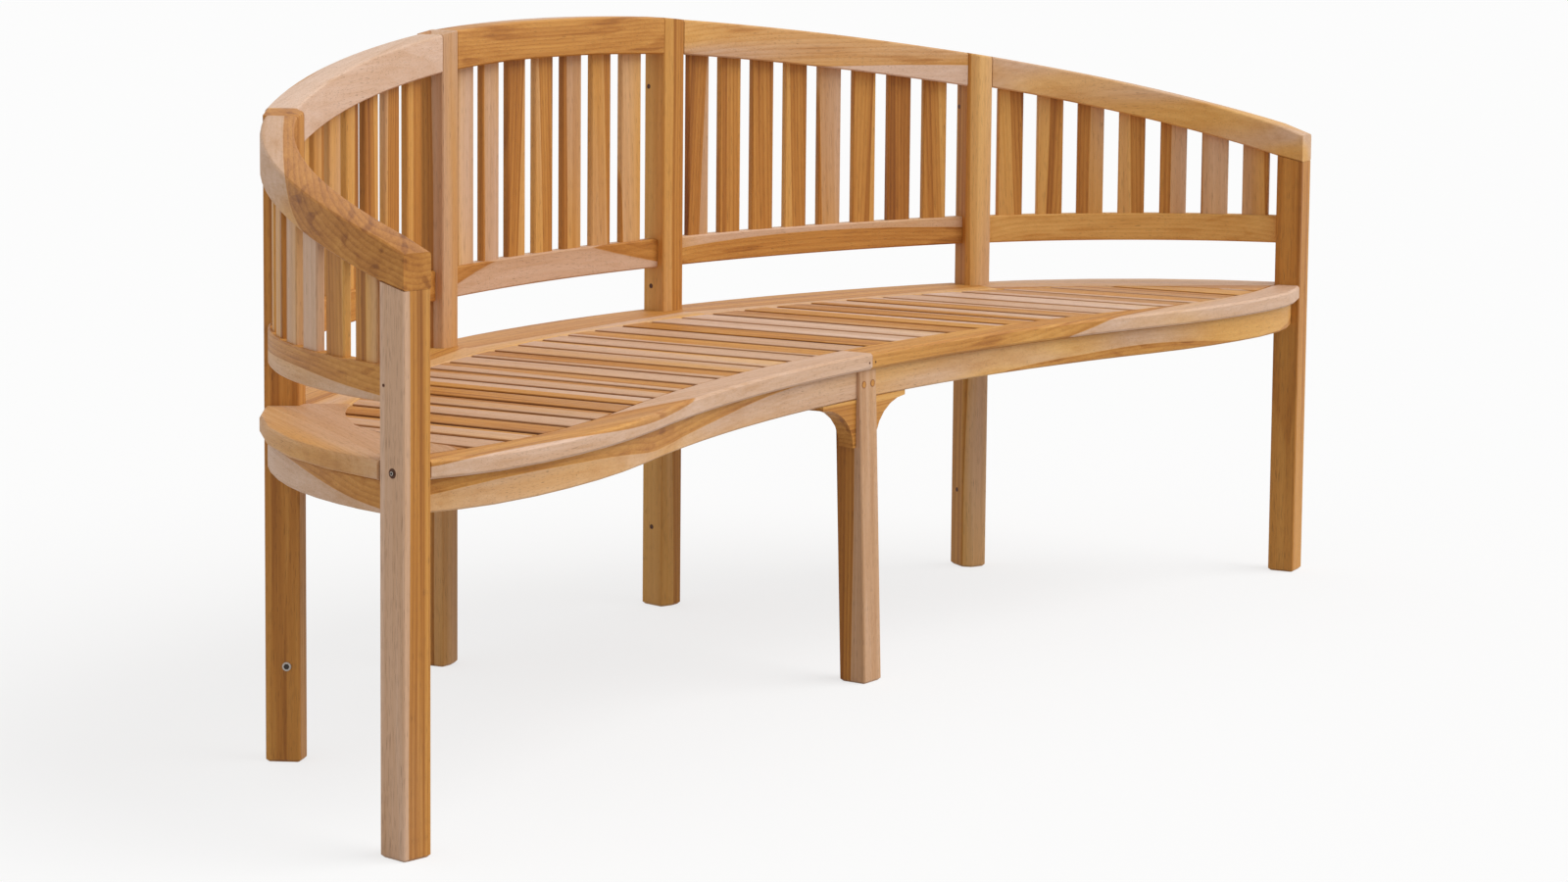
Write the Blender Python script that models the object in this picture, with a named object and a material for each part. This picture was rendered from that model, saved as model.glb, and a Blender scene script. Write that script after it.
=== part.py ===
"""Curved garden bench of solid teak, in metres, +Z up.

Seven posts stand on a kidney-shaped plan and carry five slatted panels and a framed slat seat.
X runs along the bench, Y from the sitter's knees to the back. The plan below is written for
the right-hand half, and the left-hand half is its mirror image.
"""

import math

import bmesh
import bpy
from mathutils import Vector

# Clearance where two pieces meet
GAP = 0.0003

# Half the length between the front posts, which sets the whole plan. Places are from its middle
HALF_LENGTH = 1.020

# Posts: places in plan as shares of the half length
POST_SIZE = 0.039
END_POST_TURN = 8.4
SIDE_POST_WIDTH = 0.0373
SIDE_POST_X_SHARE = 0.7494
SIDE_POST_Y_SHARE = 0.3919
SIDE_POST_TURN = -30.0
BACK_POST_X_SHARE = 0.2441
BACK_POST_Y_SHARE = 0.5792
BACK_POST_TURN = -9.4
# Depths of the back and side posts at their inner arrises and at the ridge between them
SIDE_LEFT_DEPTH = 0.0339
SIDE_RIDGE_DEPTH = 0.0447
SIDE_RIGHT_DEPTH = 0.0412
SIDE_RIDGE_PLACE = 0.0132
BACK_ARRIS_DEPTH = 0.039
BACK_RIDGE_DEPTH = 0.0424
BACK_RIDGE_PLACE = 0.0208
POST_EASE = 0.0015
FOOT_EASE = 0.003

# Centre front leg: its foot stands forward of its head
CENTRE_LEG_INSET = 0.023
CENTRE_LEG_RAKE = 0.014

# Panels between the posts: how far each curve bows out from its chord, as shares of the half length
BACK_BOW_SHARE = 0.01814
QUARTER_BOW_SHARE = 0.02294
ARM_BOW_SHARE = 0.0412

# Seat: its top falls a little towards the back
SEAT_HEIGHT = 0.430
SEAT_FALL = 0.0148
BOARD_THICKNESS = 0.021
BOARD_EASE = 0.003
BOARD_OVERHANG = 0.041
BACK_BOARD_INSET = 0.066
END_BOARD_LAP = 0.0058
END_BOARD_BOW_SHARE = 0.051
GROOVE_HEIGHT = 0.0076
GROOVE_DEPTH = 0.0106

# Top rails: the back's rise above the seat, then each fall and step down towards the arms
BACK_RAIL_RISE = 0.403
BACK_RAIL_CROWN = 0.0055
QUARTER_RAIL_STEP = 0.004
QUARTER_RAIL_FALL = 0.0600
QUARTER_FALL_SHARE = 0.7
ARM_RAIL_STEP = 0.006
ARM_RAIL_FALL = 0.096
ARM_NOSE_FALL = 0.014
ARM_FALL_SHARE = 0.76
TOP_RAIL_THICKNESS = 0.039
BACK_RAIL_DEPTH = 0.051
QUARTER_RAIL_DEPTH = 0.049
ARM_RAIL_DEPTH = 0.0455
ARM_NOSE_DEPTH = 0.0395
TOP_FRONT_ROUND = 0.004
TOP_BACK_ROUND = 0.005
RAIL_EASE = 0.002

# Lower rails and the upright slats that stand in them
LOWER_RAIL_RISE = 0.1012
LOWER_RAIL_DEPTH = 0.040
LOWER_RAIL_RECESS = 0.011
LOWER_RAIL_THICKNESS = 0.020
BACK_SLAT_WIDTH = 0.038
BACK_SLAT_THICKNESS = 0.010
BACK_SLAT_HOUSING = 0.008
HOUSING_CLEARANCE = 0.0004
BACK_SLAT_EASE = 0.0015
BACK_SLAT_COUNT = 7
QUARTER_SLAT_COUNT = 8
ARM_SLAT_COUNT = 7
# Even spacings that fit in each panel's length: more than its slats, for the wider gaps at the ends
BACK_SPACINGS = 7.58
QUARTER_SPACINGS = 8.5
ARM_SPACINGS = 7.22

# Front rail: hollow in the middle, with a nose on each side
FRONT_RAIL_WIDTH = 0.050
FRONT_MIDDLE_SHARE = 0.12255
HOLLOW_RADIUS_SHARE = 2.0098
NOSE_RADIUS_SHARE = 0.8706
NOSE_SHARE = 0.8431

# Seat slats between even gaps
LAST_GAP_SHARE = 0.8897
SEAT_SLAT_GAP = 0.0115
SEAT_SLAT_THICKNESS = 0.019
SEAT_SLAT_DROP = 0.0005
SEAT_SLAT_CLEARANCE = 0.0006
SEAT_SLAT_EASE = 0.0015
TONGUE_THICKNESS = 0.007
TONGUE_LENGTH = 0.0095
SLATS_PER_HALF = 15
FIXED_SLATS = 3
FINGER_HOUSING = 0.006

# Aprons, brackets and bearers under the seat
APRON_DEPTH = 0.0375
APRON_THICKNESS = 0.020
FRONT_APRON_RECESS = 0.0115
BACK_APRON_RECESS = 0.009
BRACKET_LENGTH = 0.076
BRACKET_DROP = 0.062
BRACKET_THICKNESS = 0.022
BRACKET_TIP = 0.006
BEARER_WIDTH = 0.022
BEARER_DEPTH = 0.030
SIDE_BEARER_SLAT = 8

# Tenons on the ends of the rails and aprons, and on the heads of the end posts
TENON_LENGTH = 0.013
TENON_THICKNESS = 0.010
TENON_SHOULDER = 0.009
TENON_ROOT = 0.006
TENON_CLEARANCE = 0.0004
HEAD_TENON_SIZE = 0.016

# Steps along the curves
RAIL_STEPS = 14
APRON_STEPS = 10
ROUND_STEPS = 3
OVERRUN = 0.02
# Where a search along a curve starts and ends, as shares of its length
MIDDLE_SHARE = 0.5
BEFORE_SHARE = -0.5
BEYOND_SHARE = 1.5

GOLDEN_TEAK = (0.50, 0.29, 0.13)
PALE_TEAK = (0.56, 0.36, 0.19)
BROWN_TEAK = (0.40, 0.21, 0.09)


def wood(name, colour):
    """Sanded, unfinished teak."""
    material = bpy.data.materials.new(name)
    material.use_nodes = True
    shader = material.node_tree.nodes["Principled BSDF"]
    shader.inputs["Base Color"].default_value = (*colour, 1.0)
    shader.inputs["Roughness"].default_value = 0.6
    shader.inputs["Metallic"].default_value = 0.0
    material.diffuse_color = (*colour, 1.0)
    return material


def solid(name, mesh, colour, origin=(0.0, 0.0, 0.0), turn=0.0, hand=1):
    """The finished object, its mesh mirrored for the left hand and moved to its own origin."""
    for corner in mesh.verts:
        corner.co.x *= hand
    bmesh.ops.recalc_face_normals(mesh, faces=mesh.faces)
    if mesh.calc_volume(signed=True) < 0:
        bmesh.ops.reverse_faces(mesh, faces=mesh.faces)
    data = bpy.data.meshes.new(name)
    mesh.to_mesh(data)
    mesh.free()
    data.materials.append(wood(name, colour))
    piece = bpy.data.objects.new(name, data)
    piece.location = origin
    piece.rotation_euler.z = turn
    bpy.context.scene.collection.objects.link(piece)
    piece.parent = bench
    return piece


def tool(name, mesh, hand=1):
    """A cutter or an addition that a Boolean uses and that isn't a piece of the bench."""
    piece = solid(name, mesh, GOLDEN_TEAK, hand=hand)
    piece.hide_render = True
    piece.display_type = "WIRE"
    return piece


def combine(piece, other, operation):
    modifier = piece.modifiers.new(other.name, "BOOLEAN")
    modifier.operation = operation
    modifier.object = other


def loft(rings):
    """A closed solid through rings of equally many points."""
    mesh = bmesh.new()
    rows = [[mesh.verts.new(point) for point in ring] for ring in rings]
    count = len(rows[0])
    for low, high in zip(rows, rows[1:]):
        for i in range(count):
            j = (i + 1) % count
            mesh.faces.new((low[i], low[j], high[j], high[i]))
    mesh.faces.new(rows[0])
    mesh.faces.new(rows[-1])
    return mesh


def joined(meshes):
    """Several separate shapes in one mesh."""
    whole = bmesh.new()
    for mesh in meshes:
        placed = {corner: whole.verts.new(corner.co) for corner in mesh.verts}
        for face in mesh.faces:
            whole.faces.new([placed[corner] for corner in face.verts])
        mesh.free()
    return whole


def eased(outline, ease):
    """A closed plan outline with each corner cut back by the same length on both sides."""
    points = []
    for before, corner, after in zip(outline[-1:] + outline[:-1], outline, outline[1:] + outline[:1]):
        points.append(corner + (before - corner).normalized() * ease)
        points.append(corner + (after - corner).normalized() * ease)
    return points


def grown(outline, margin):
    """A convex outline, listed anticlockwise, with every side moved out by the margin."""
    count = len(outline)
    lines = []
    for corner, after in zip(outline, outline[1:] + outline[:1]):
        along = (after - corner).normalized()
        out = Vector((along.y, -along.x))
        lines.append((corner + out * margin, along))
    points = []
    for i in range(count):
        (start, along), (other, across) = lines[i - 1], lines[i]
        turn = along.x * across.y - along.y * across.x
        reach = ((other.x - start.x) * across.y - (other.y - start.y) * across.x) / turn
        points.append(start + along * reach)
    return points


def seat_level(point):
    """Height of the top of the seat frame over a plan point."""
    return SEAT_HEIGHT - SEAT_FALL * point.y


def prism(outline, low, high):
    """An upright solid between two heights, each worked out from the plan point."""
    return loft([[(p.x, p.y, height(p)) for p in outline] for height in (low, high)])


class Post:
    """A post in plan: local u runs to the right along its inner face, v towards the back."""

    def __init__(self, x, y, turn, width=POST_SIZE, left=0.0, ridge=0.0, right=0.0, place=0.0):
        self.middle = Vector((x, y))
        self.turn = math.radians(turn)
        self.across = Vector((math.cos(self.turn), math.sin(self.turn)))
        self.back = Vector((-self.across.y, self.across.x))
        self.half = width / 2
        self.left = self.half - (left or width)
        self.ridge = self.half - ridge if ridge else 0.0
        self.right = self.half - (right or width)
        self.place = place - self.half

    def at(self, u, v):
        return self.middle + self.across * u + self.back * v

    def left_arris(self):
        """Plan point where the rail on the left lies flush with the post."""
        return self.at(-self.half, self.left)

    def right_arris(self):
        return self.at(self.half, self.right)

    def outline(self):
        """Local corners, anticlockwise from the left end of the inner face."""
        half = self.half
        points = [
            Vector((-half, self.left)),
            Vector((half, self.right)),
            Vector((half, half)),
            Vector((-half, half)),
        ]
        if self.ridge:
            points.insert(1, Vector((self.place, self.ridge)))
        return points

    def face(self, u, v):
        """One side as a plane: a point on it and its outward direction."""
        return self.at(u * self.half, v * self.half), self.across * u + self.back * v


class Arc:
    """A circular plan curve between two points, bowed out to the left of the way along it."""

    def __init__(self, start, end, bow):
        chord = end - start
        self.along = chord.normalized()
        self.out = Vector((-self.along.y, self.along.x))
        self.radius = (chord.length**2 / 4 + bow**2) / (2 * bow)
        self.half_angle = math.asin(chord.length / 2 / self.radius)
        self.centre = (start + end) / 2 - self.out * (self.radius - bow)
        self.length = 2 * self.radius * self.half_angle

    def at(self, share, offset=0.0):
        angle = (2 * share - 1) * self.half_angle
        way = self.out * math.cos(angle) + self.along * math.sin(angle)
        return self.centre + way * (self.radius + offset)


def meet(curve, plane, low, high, clearance=GAP):
    """The place between low and high where a curve comes within the clearance of a plane."""
    point, normal = plane

    def clear(place):
        return (curve(place) - point).dot(normal) - clearance

    low_is_clear = clear(low) > 0
    for _ in range(60):
        middle = (low + high) / 2
        if (clear(middle) > 0) == low_is_clear:
            low = middle
        else:
            high = middle
    return low if low_is_clear else high


def shares_between(arc, offset, start, end, steps, clearance=GAP):
    """Evenly spaced shares of an arc from one plane to another."""
    first = meet(lambda s: arc.at(s, offset), start, MIDDLE_SHARE, BEFORE_SHARE, clearance)
    last = meet(lambda s: arc.at(s, offset), end, MIDDLE_SHARE, BEYOND_SHARE, clearance)
    return [first + (last - first) * k / steps for k in range(steps + 1)]


def line_between(arc, offset, start, end, steps, clearance=GAP):
    """Plan points along an arc from one plane to another."""
    return [arc.at(share, offset) for share in shares_between(arc, offset, start, end, steps, clearance)]


def band(inner, outer, section, level):
    """A rail swept between two plan lines. The section lists side, inset and height, or gives
    such a list for each place along the rail."""
    rings = []
    sections = section if callable(section) else lambda k: section
    for k, (near, far) in enumerate(zip(inner, outer)):
        across = (far - near).normalized()
        ring = []
        for side, inset, height in sections(k):
            point = near + across * inset if side == "inner" else far - across * inset
            ring.append((point.x, point.y, level(point, k) + height))
        rings.append(ring)
    return loft(rings)


def top_section(depth):
    """A top rail: rounded along its upper edges and eased along its lower ones."""
    section = [
        ("outer", RAIL_EASE, -depth),
        ("inner", RAIL_EASE, -depth),
        ("inner", 0.0, RAIL_EASE - depth),
    ]
    for k in range(ROUND_STEPS + 1):
        angle = math.pi / 2 * k / ROUND_STEPS
        rise = TOP_FRONT_ROUND * (math.sin(angle) - 1)
        section.append(("inner", TOP_FRONT_ROUND * (1 - math.cos(angle)), rise))
    for k in range(ROUND_STEPS + 1):
        angle = math.pi / 2 * (ROUND_STEPS - k) / ROUND_STEPS
        rise = TOP_BACK_ROUND * (math.sin(angle) - 1)
        section.append(("outer", TOP_BACK_ROUND * (1 - math.cos(angle)), rise))
    section.append(("outer", 0.0, RAIL_EASE - depth))
    return section


def plain_section(depth, ease, top=0.0):
    """A rail eased along its four long edges."""
    return [
        ("outer", ease, top - depth),
        ("inner", ease, top - depth),
        ("inner", 0.0, top - depth + ease),
        ("inner", 0.0, top - ease),
        ("inner", ease, top),
        ("outer", ease, top),
        ("outer", 0.0, top - ease),
        ("outer", 0.0, top - depth + ease),
    ]


def board_section():
    """A seat board with a groove along its inner edge for the slats' tongues."""
    middle = BOARD_THICKNESS / 2
    return [
        ("outer", BOARD_EASE, -BOARD_THICKNESS),
        ("inner", 0.0, -BOARD_THICKNESS),
        ("inner", 0.0, -middle - GROOVE_HEIGHT / 2),
        ("inner", GROOVE_DEPTH, -middle - GROOVE_HEIGHT / 2),
        ("inner", GROOVE_DEPTH, -middle + GROOVE_HEIGHT / 2),
        ("inner", 0.0, -middle + GROOVE_HEIGHT / 2),
        ("inner", 0.0, -BOARD_EASE),
        ("inner", BOARD_EASE, 0.0),
        ("outer", BOARD_EASE, 0.0),
        ("outer", 0.0, -BOARD_EASE),
        ("outer", 0.0, BOARD_EASE - BOARD_THICKNESS),
    ]


mortises = {}


def tenon(centre, out, low, high, post_name, hand=1):
    """A tenon at a plan point of a post's face, whose mortise is kept for that post."""
    side = Vector((-out.y, out.x)) * (TENON_THICKNESS / 2)

    def block(root, length, margin):
        wide = side * (1 + 2 * margin / TENON_THICKNESS)
        near = centre + out * root
        far = centre - out * (length + margin)
        plan = [near - wide, near + wide, far + wide, far - wide]
        mesh = prism(plan, lambda p: low - margin, lambda p: high + margin)
        for corner in mesh.verts:
            corner.co.x *= hand
        bmesh.ops.recalc_face_normals(mesh, faces=mesh.faces)
        return mesh

    mortises.setdefault(post_name, []).append(block(OVERRUN, TENON_LENGTH, TENON_CLEARANCE))
    return block(TENON_ROOT, TENON_LENGTH, 0.0)


def end_tenon(panel, end, offset, high, depth, hand):
    """The tenon at one end of a panel's rail: which end, and the rail's height there."""
    post, face, place = panel.joints[end]
    centre = panel.line(offset, 1)[end]
    top = high(centre) - TENON_SHOULDER
    name = f"{'left' if hand < 0 else 'right'}_{post}"
    return tenon(centre, face[1], top - depth + 2 * TENON_SHOULDER, top, name, hand)


def rail_tenons(panel, offset, tops, depth, hand, ends=(0, -1)):
    """Tenons for the ends of one rail. The middle panel has the same end on both hands."""
    if panel.mirror:
        return [end_tenon(panel, -1, offset, tops[-1], depth, way) for way in (-1, 1)]
    return [end_tenon(panel, end, offset, tops[end], depth, hand) for end in ends]


class Panel:
    """One bay of the back or an arm: its plan curve, the planes it ends on and its top line."""

    def __init__(self, arc, start, end, top, depth, slats, spacings, posts):
        self.arc = arc
        self.start = start
        self.end = end
        self.mirror = posts[0] == posts[1]
        self.joints = {0: (posts[0], start, 0), -1: (posts[1], end, 1)}
        self.top = top
        self.depth = depth
        self.slats = slats
        self.pitch = arc.length / spacings

    def line(self, offset, steps, clearance=GAP):
        return line_between(self.arc, offset, self.start, self.end, steps, clearance)

    def tops(self, steps):
        return [self.top(k / steps) for k in range(steps + 1)]

    def underside(self, share, offset):
        """Height of the faceted top rail's underside over a point of the arc."""
        shares = shares_between(self.arc, offset, self.start, self.end, RAIL_STEPS)
        place = (share - shares[0]) / (shares[-1] - shares[0]) * RAIL_STEPS
        k = min(max(int(place), 0), RAIL_STEPS - 1)
        tops = self.tops(RAIL_STEPS)
        return tops[k] + (tops[k + 1] - tops[k]) * (place - k) - self.depth


def mirrored(plane):
    point, normal = plane
    return Vector((-point.x, point.y)), Vector((-normal.x, normal.y))


def falling(head, tail, share):
    """A top line that falls from head to tail, less steeply at first."""
    return lambda s: head - (head - tail) * (share * s + (1 - share) * s * s)


def crowned(ends, crown):
    return lambda s: ends + crown * 4 * s * (1 - s)


def y_on(line, x):
    """Where a plan line that runs from left to right crosses x."""
    for near, far in zip(line, line[1:]):
        if near.x <= x <= far.x:
            return near.y + (far.y - near.y) * (x - near.x) / (far.x - near.x)
    nearest = line[0] if x < line[0].x else line[-1]
    return nearest.y


for leftover in list(bpy.data.objects):
    bpy.data.objects.remove(leftover)

bench = bpy.data.objects.new("bench", None)
bpy.context.scene.collection.objects.link(bench)

end_post = Post(HALF_LENGTH, 0.0, END_POST_TURN)
side_post = Post(
    HALF_LENGTH * SIDE_POST_X_SHARE,
    HALF_LENGTH * SIDE_POST_Y_SHARE,
    SIDE_POST_TURN,
    SIDE_POST_WIDTH,
    SIDE_LEFT_DEPTH,
    SIDE_RIDGE_DEPTH,
    SIDE_RIGHT_DEPTH,
    SIDE_RIDGE_PLACE,
)
back_post = Post(
    HALF_LENGTH * BACK_POST_X_SHARE,
    HALF_LENGTH * BACK_POST_Y_SHARE,
    BACK_POST_TURN,
    POST_SIZE,
    BACK_ARRIS_DEPTH,
    BACK_RIDGE_DEPTH,
    BACK_ARRIS_DEPTH,
    BACK_RIDGE_PLACE,
)

half = POST_SIZE / 2
back_top = SEAT_HEIGHT + BACK_RAIL_RISE
quarter_head = back_top - QUARTER_RAIL_STEP
quarter_tail = quarter_head - QUARTER_RAIL_FALL
arm_head = quarter_tail - ARM_RAIL_STEP
arm_tail = arm_head - ARM_RAIL_FALL
arm_nose = arm_tail - ARM_NOSE_FALL

back_left = back_post.left_arris()
back_panel = Panel(
    Arc(Vector((-back_left.x, back_left.y)), back_left, HALF_LENGTH * BACK_BOW_SHARE),
    mirrored(back_post.face(-1, 0)),
    back_post.face(-1, 0),
    crowned(back_top, BACK_RAIL_CROWN),
    BACK_RAIL_DEPTH,
    BACK_SLAT_COUNT,
    BACK_SPACINGS,
    ("back_post", "back_post"),
)
quarter_panel = Panel(
    Arc(back_post.right_arris(), side_post.left_arris(), HALF_LENGTH * QUARTER_BOW_SHARE),
    back_post.face(1, 0),
    side_post.face(-1, 0),
    falling(quarter_head, quarter_tail, QUARTER_FALL_SHARE),
    QUARTER_RAIL_DEPTH,
    QUARTER_SLAT_COUNT,
    QUARTER_SPACINGS,
    ("back_post", "side_post"),
)
arm_panel = Panel(
    Arc(side_post.right_arris(), end_post.at(-half, half), HALF_LENGTH * ARM_BOW_SHARE),
    side_post.face(1, 0),
    end_post.face(0, 1),
    falling(arm_head, arm_tail, ARM_FALL_SHARE),
    ARM_RAIL_DEPTH,
    ARM_SLAT_COUNT,
    ARM_SPACINGS,
    ("side_post", "front_post"),
)


def make_post(name, post, hand, top, colour, rounded):
    """A post from its eased foot to its head, whose height is worked out from local u and v."""
    outline = eased(post.outline(), POST_EASE)
    foot = eased(grown(post.outline(), -FOOT_EASE), POST_EASE)
    mesh = loft(
        [
            [(p.x, p.y, 0.0) for p in foot],
            [(p.x, p.y, FOOT_EASE) for p in outline],
            [(p.x, p.y, top(p)) for p in outline],
        ]
    )
    if rounded:
        head = [face for face in mesh.faces if len(face.verts) == len(outline)]
        head = max(head, key=lambda face: face.calc_center_median().z)
        reach = max(post.left, post.right) + POST_EASE / 2
        inner = [e for e in head.edges if all(v.co.y < reach for v in e.verts)]
        bmesh.ops.bevel(
            mesh,
            geom=inner,
            offset=TOP_FRONT_ROUND,
            segments=ROUND_STEPS,
            profile=0.5,
            affect="EDGES",
        )
    return solid(
        name, mesh, colour, (post.middle.x * hand, post.middle.y, 0.0), post.turn * hand, hand
    )


def between(left, right, post):
    """A height that changes evenly from the left side of a post to its right side."""
    return lambda p: left + (right - left) * (p.x / post.half + 1) / 2


def arm_seat(p):
    """Underside of the arm over an end post, from the post's front to its back."""
    share = p.y / POST_SIZE + 0.5
    nose = arm_nose - ARM_NOSE_DEPTH
    tail = arm_tail - ARM_RAIL_DEPTH
    return nose + (tail - nose) * share - GAP


def notch(name, post, hand):
    """The space that a post takes out of the seat, open to the back."""
    outline = post.outline()
    for corner in outline:
        if corner.y > 0:
            corner.y += OVERRUN
    plan = [post.at(p.x, p.y) for p in grown(outline, GAP)]
    low = BOARD_THICKNESS + OVERRUN
    mesh = prism(plan, lambda p: seat_level(p) - low, lambda p: seat_level(p) + OVERRUN)
    return tool(name, mesh, hand)


HANDS = (("left", -1), ("right", 1))
for side, hand in HANDS:
    make_post(f"{side}_front_post", end_post, hand, arm_seat, GOLDEN_TEAK, False)
    side_top = between(quarter_tail, arm_head, side_post)
    make_post(f"{side}_side_post", side_post, hand, side_top, BROWN_TEAK, True)
    head_top = between(back_top, quarter_head, back_post)
    make_post(f"{side}_back_post", back_post, hand, head_top, GOLDEN_TEAK, True)


slat_front = LOWER_RAIL_RECESS + (LOWER_RAIL_THICKNESS - BACK_SLAT_THICKNESS) / 2
slat_back = slat_front + BACK_SLAT_THICKNESS


def make_groove(name, panel, hand, clearance):
    """The groove under a top rail that holds the heads of its slats."""
    inner = panel.line(slat_front - HOUSING_CLEARANCE, RAIL_STEPS, clearance)
    outer = panel.line(slat_back + HOUSING_CLEARANCE, RAIL_STEPS, clearance)
    tops = panel.tops(RAIL_STEPS)
    top = BACK_SLAT_HOUSING + HOUSING_CLEARANCE - panel.depth
    low = -panel.depth - OVERRUN
    section = [("outer", 0.0, low), ("inner", 0.0, low), ("inner", 0.0, top), ("outer", 0.0, top)]
    return tool(name, band(inner, outer, section, lambda p, k: tops[k]), hand)


def head_tenon(post, margin, hand):
    """The square tenon on an end post's head, or with a margin its mortise in the arm."""
    reach = HEAD_TENON_SIZE / 2 + margin
    plan = [post.at(u * reach, v * reach) for u, v in ((-1, -1), (1, -1), (1, 1), (-1, 1))]
    seat = arm_nose - ARM_NOSE_DEPTH
    low = seat - (OVERRUN if margin else TENON_ROOT)
    high = seat + HEAD_TENON_SIZE + margin
    mesh = prism(plan, lambda p: low, lambda p: high)
    for corner in mesh.verts:
        corner.co.x *= hand
    bmesh.ops.recalc_face_normals(mesh, faces=mesh.faces)
    return mesh


def make_top_rail(name, panel, hand, colour, over_post=None):
    """A curved top rail, which runs on over the end post where it is an arm."""
    inner = panel.line(0.0, RAIL_STEPS)
    outer = panel.line(TOP_RAIL_THICKNESS, RAIL_STEPS)
    tops = panel.tops(RAIL_STEPS)
    depths = [panel.depth] * len(tops)
    if over_post:
        inner.append(over_post.at(-over_post.half, -over_post.half))
        outer.append(over_post.at(over_post.half, -over_post.half))
        tops.append(arm_nose)
        depths.append(ARM_NOSE_DEPTH)
    mesh = band(inner, outer, lambda k: top_section(depths[k]), lambda p, k: tops[k])
    rail = solid(name, mesh, colour, hand=hand)
    clearance = GAP / 2 if over_post else -HOUSING_CLEARANCE
    combine(rail, make_groove(f"{name}_groove", panel, hand, clearance), "DIFFERENCE")
    ends = (0,) if over_post else (0, -1)
    heights = {0: lambda p: tops[0], -1: lambda p: tops[-1]}
    tenons = rail_tenons(panel, TOP_RAIL_THICKNESS / 2, heights, panel.depth, hand, ends)
    if over_post:
        mortise = head_tenon(over_post, TENON_CLEARANCE, hand)
        combine(rail, tool(f"{name}_mortise", mortise), "DIFFERENCE")
    combine(rail, tool(f"{name}_tenons", joined(tenons)), "UNION")
    return rail


def upright(panel, first, last, level):
    """One eased upright slat of a panel, its head cut to the groove above it."""
    arc = panel.arc
    shares = (first / arc.length, last / arc.length)
    sides = (
        (shares[0], slat_front),
        (shares[1], slat_front),
        (shares[1], slat_back),
        (shares[0], slat_back),
    )
    corners = [arc.at(*side) for side in sides]
    plan = eased(corners, BACK_SLAT_EASE)
    heads = []
    for side in sides:
        heads += [panel.underside(*side) + BACK_SLAT_HOUSING - HOUSING_CLEARANCE] * 2
    foot = [(p.x, p.y, level(p, 0) - BACK_SLAT_HOUSING) for p in plan]
    return loft([foot, [(p.x, p.y, z) for p, z in zip(plan, heads)]])


def make_lower_rail(name, panel, hand, colour):
    """A curved lower rail with the upright slats housed in it."""
    inner = panel.line(LOWER_RAIL_RECESS, RAIL_STEPS)
    outer = panel.line(LOWER_RAIL_RECESS + LOWER_RAIL_THICKNESS, RAIL_STEPS)
    level = lambda p, k: seat_level(p) + LOWER_RAIL_RISE
    mesh = band(inner, outer, plain_section(LOWER_RAIL_DEPTH, RAIL_EASE), level)
    rail = solid(name, mesh, colour, hand=hand)
    spread = (panel.slats - 1) * panel.pitch + BACK_SLAT_WIDTH
    slats = []
    for i in range(panel.slats):
        first = (panel.arc.length - spread) / 2 + i * panel.pitch
        slats.append(upright(panel, first, first + BACK_SLAT_WIDTH, level))
    combine(rail, tool(f"{name}_slats", joined(slats), hand), "UNION")
    heights = {end: lambda p: level(p, 0) for end in (0, -1)}
    offset = LOWER_RAIL_RECESS + LOWER_RAIL_THICKNESS / 2
    tenons = rail_tenons(panel, offset, heights, LOWER_RAIL_DEPTH, hand)
    combine(rail, tool(f"{name}_tenons", joined(tenons)), "UNION")
    return rail


make_top_rail("back_top_rail", back_panel, 1, GOLDEN_TEAK)
make_lower_rail("back_lower_rail", back_panel, 1, PALE_TEAK)
for side, hand in HANDS:
    make_top_rail(f"{side}_quarter_top_rail", quarter_panel, hand, GOLDEN_TEAK)
    make_lower_rail(f"{side}_quarter_lower_rail", quarter_panel, hand, GOLDEN_TEAK)
    make_top_rail(f"{side}_arm_rail", arm_panel, hand, PALE_TEAK, end_post)
    make_lower_rail(f"{side}_arm_lower_rail", arm_panel, hand, BROWN_TEAK)

# Front rail's plan: a wide hollow, a nose that touches it, and a tighter turn in to the post
nose_x = HALF_LENGTH * NOSE_SHARE
seat_slat_pitch = HALF_LENGTH * LAST_GAP_SHARE / SLATS_PER_HALF
front_middle_y = HALF_LENGTH * FRONT_MIDDLE_SHARE
hollow_radius = HALF_LENGTH * HOLLOW_RADIUS_SHARE
nose_radius = HALF_LENGTH * NOSE_RADIUS_SHARE
hollow_centre = Vector((0.0, front_middle_y - hollow_radius))
nose_rise = math.sqrt((hollow_radius + nose_radius) ** 2 - nose_x**2)
nose_centre = Vector((nose_x, hollow_centre.y + nose_rise))
nose_front_y = nose_centre.y - nose_radius - FRONT_RAIL_WIDTH
post_corner = end_post.at(-half, -half)
turn_run = post_corner.x - nose_x
turn_rise = post_corner.y - nose_front_y
turn_radius = (turn_run**2 + turn_rise**2) / (2 * turn_rise)
turn_centre = Vector((nose_x, nose_front_y + turn_radius))
hollow_end_x = nose_x * hollow_radius / (hollow_radius + nose_radius)


def front_at(x, inset):
    """A point of the front rail, inset from its inner edge, square to that edge's place x."""
    if x <= hollow_end_x:
        centre, radius, facing, reach = hollow_centre, hollow_radius, 1, -inset
    elif x <= nose_x:
        centre, radius, facing, reach = nose_centre, nose_radius, -1, inset
    else:
        centre, radius, facing, reach = turn_centre, turn_radius - FRONT_RAIL_WIDTH, -1, inset
    run = (x - centre.x) / radius
    out = Vector((run, facing * math.sqrt(1 - run * run)))
    return centre + out * (radius + reach)


def gap_x(i):
    return i * seat_slat_pitch


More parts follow.
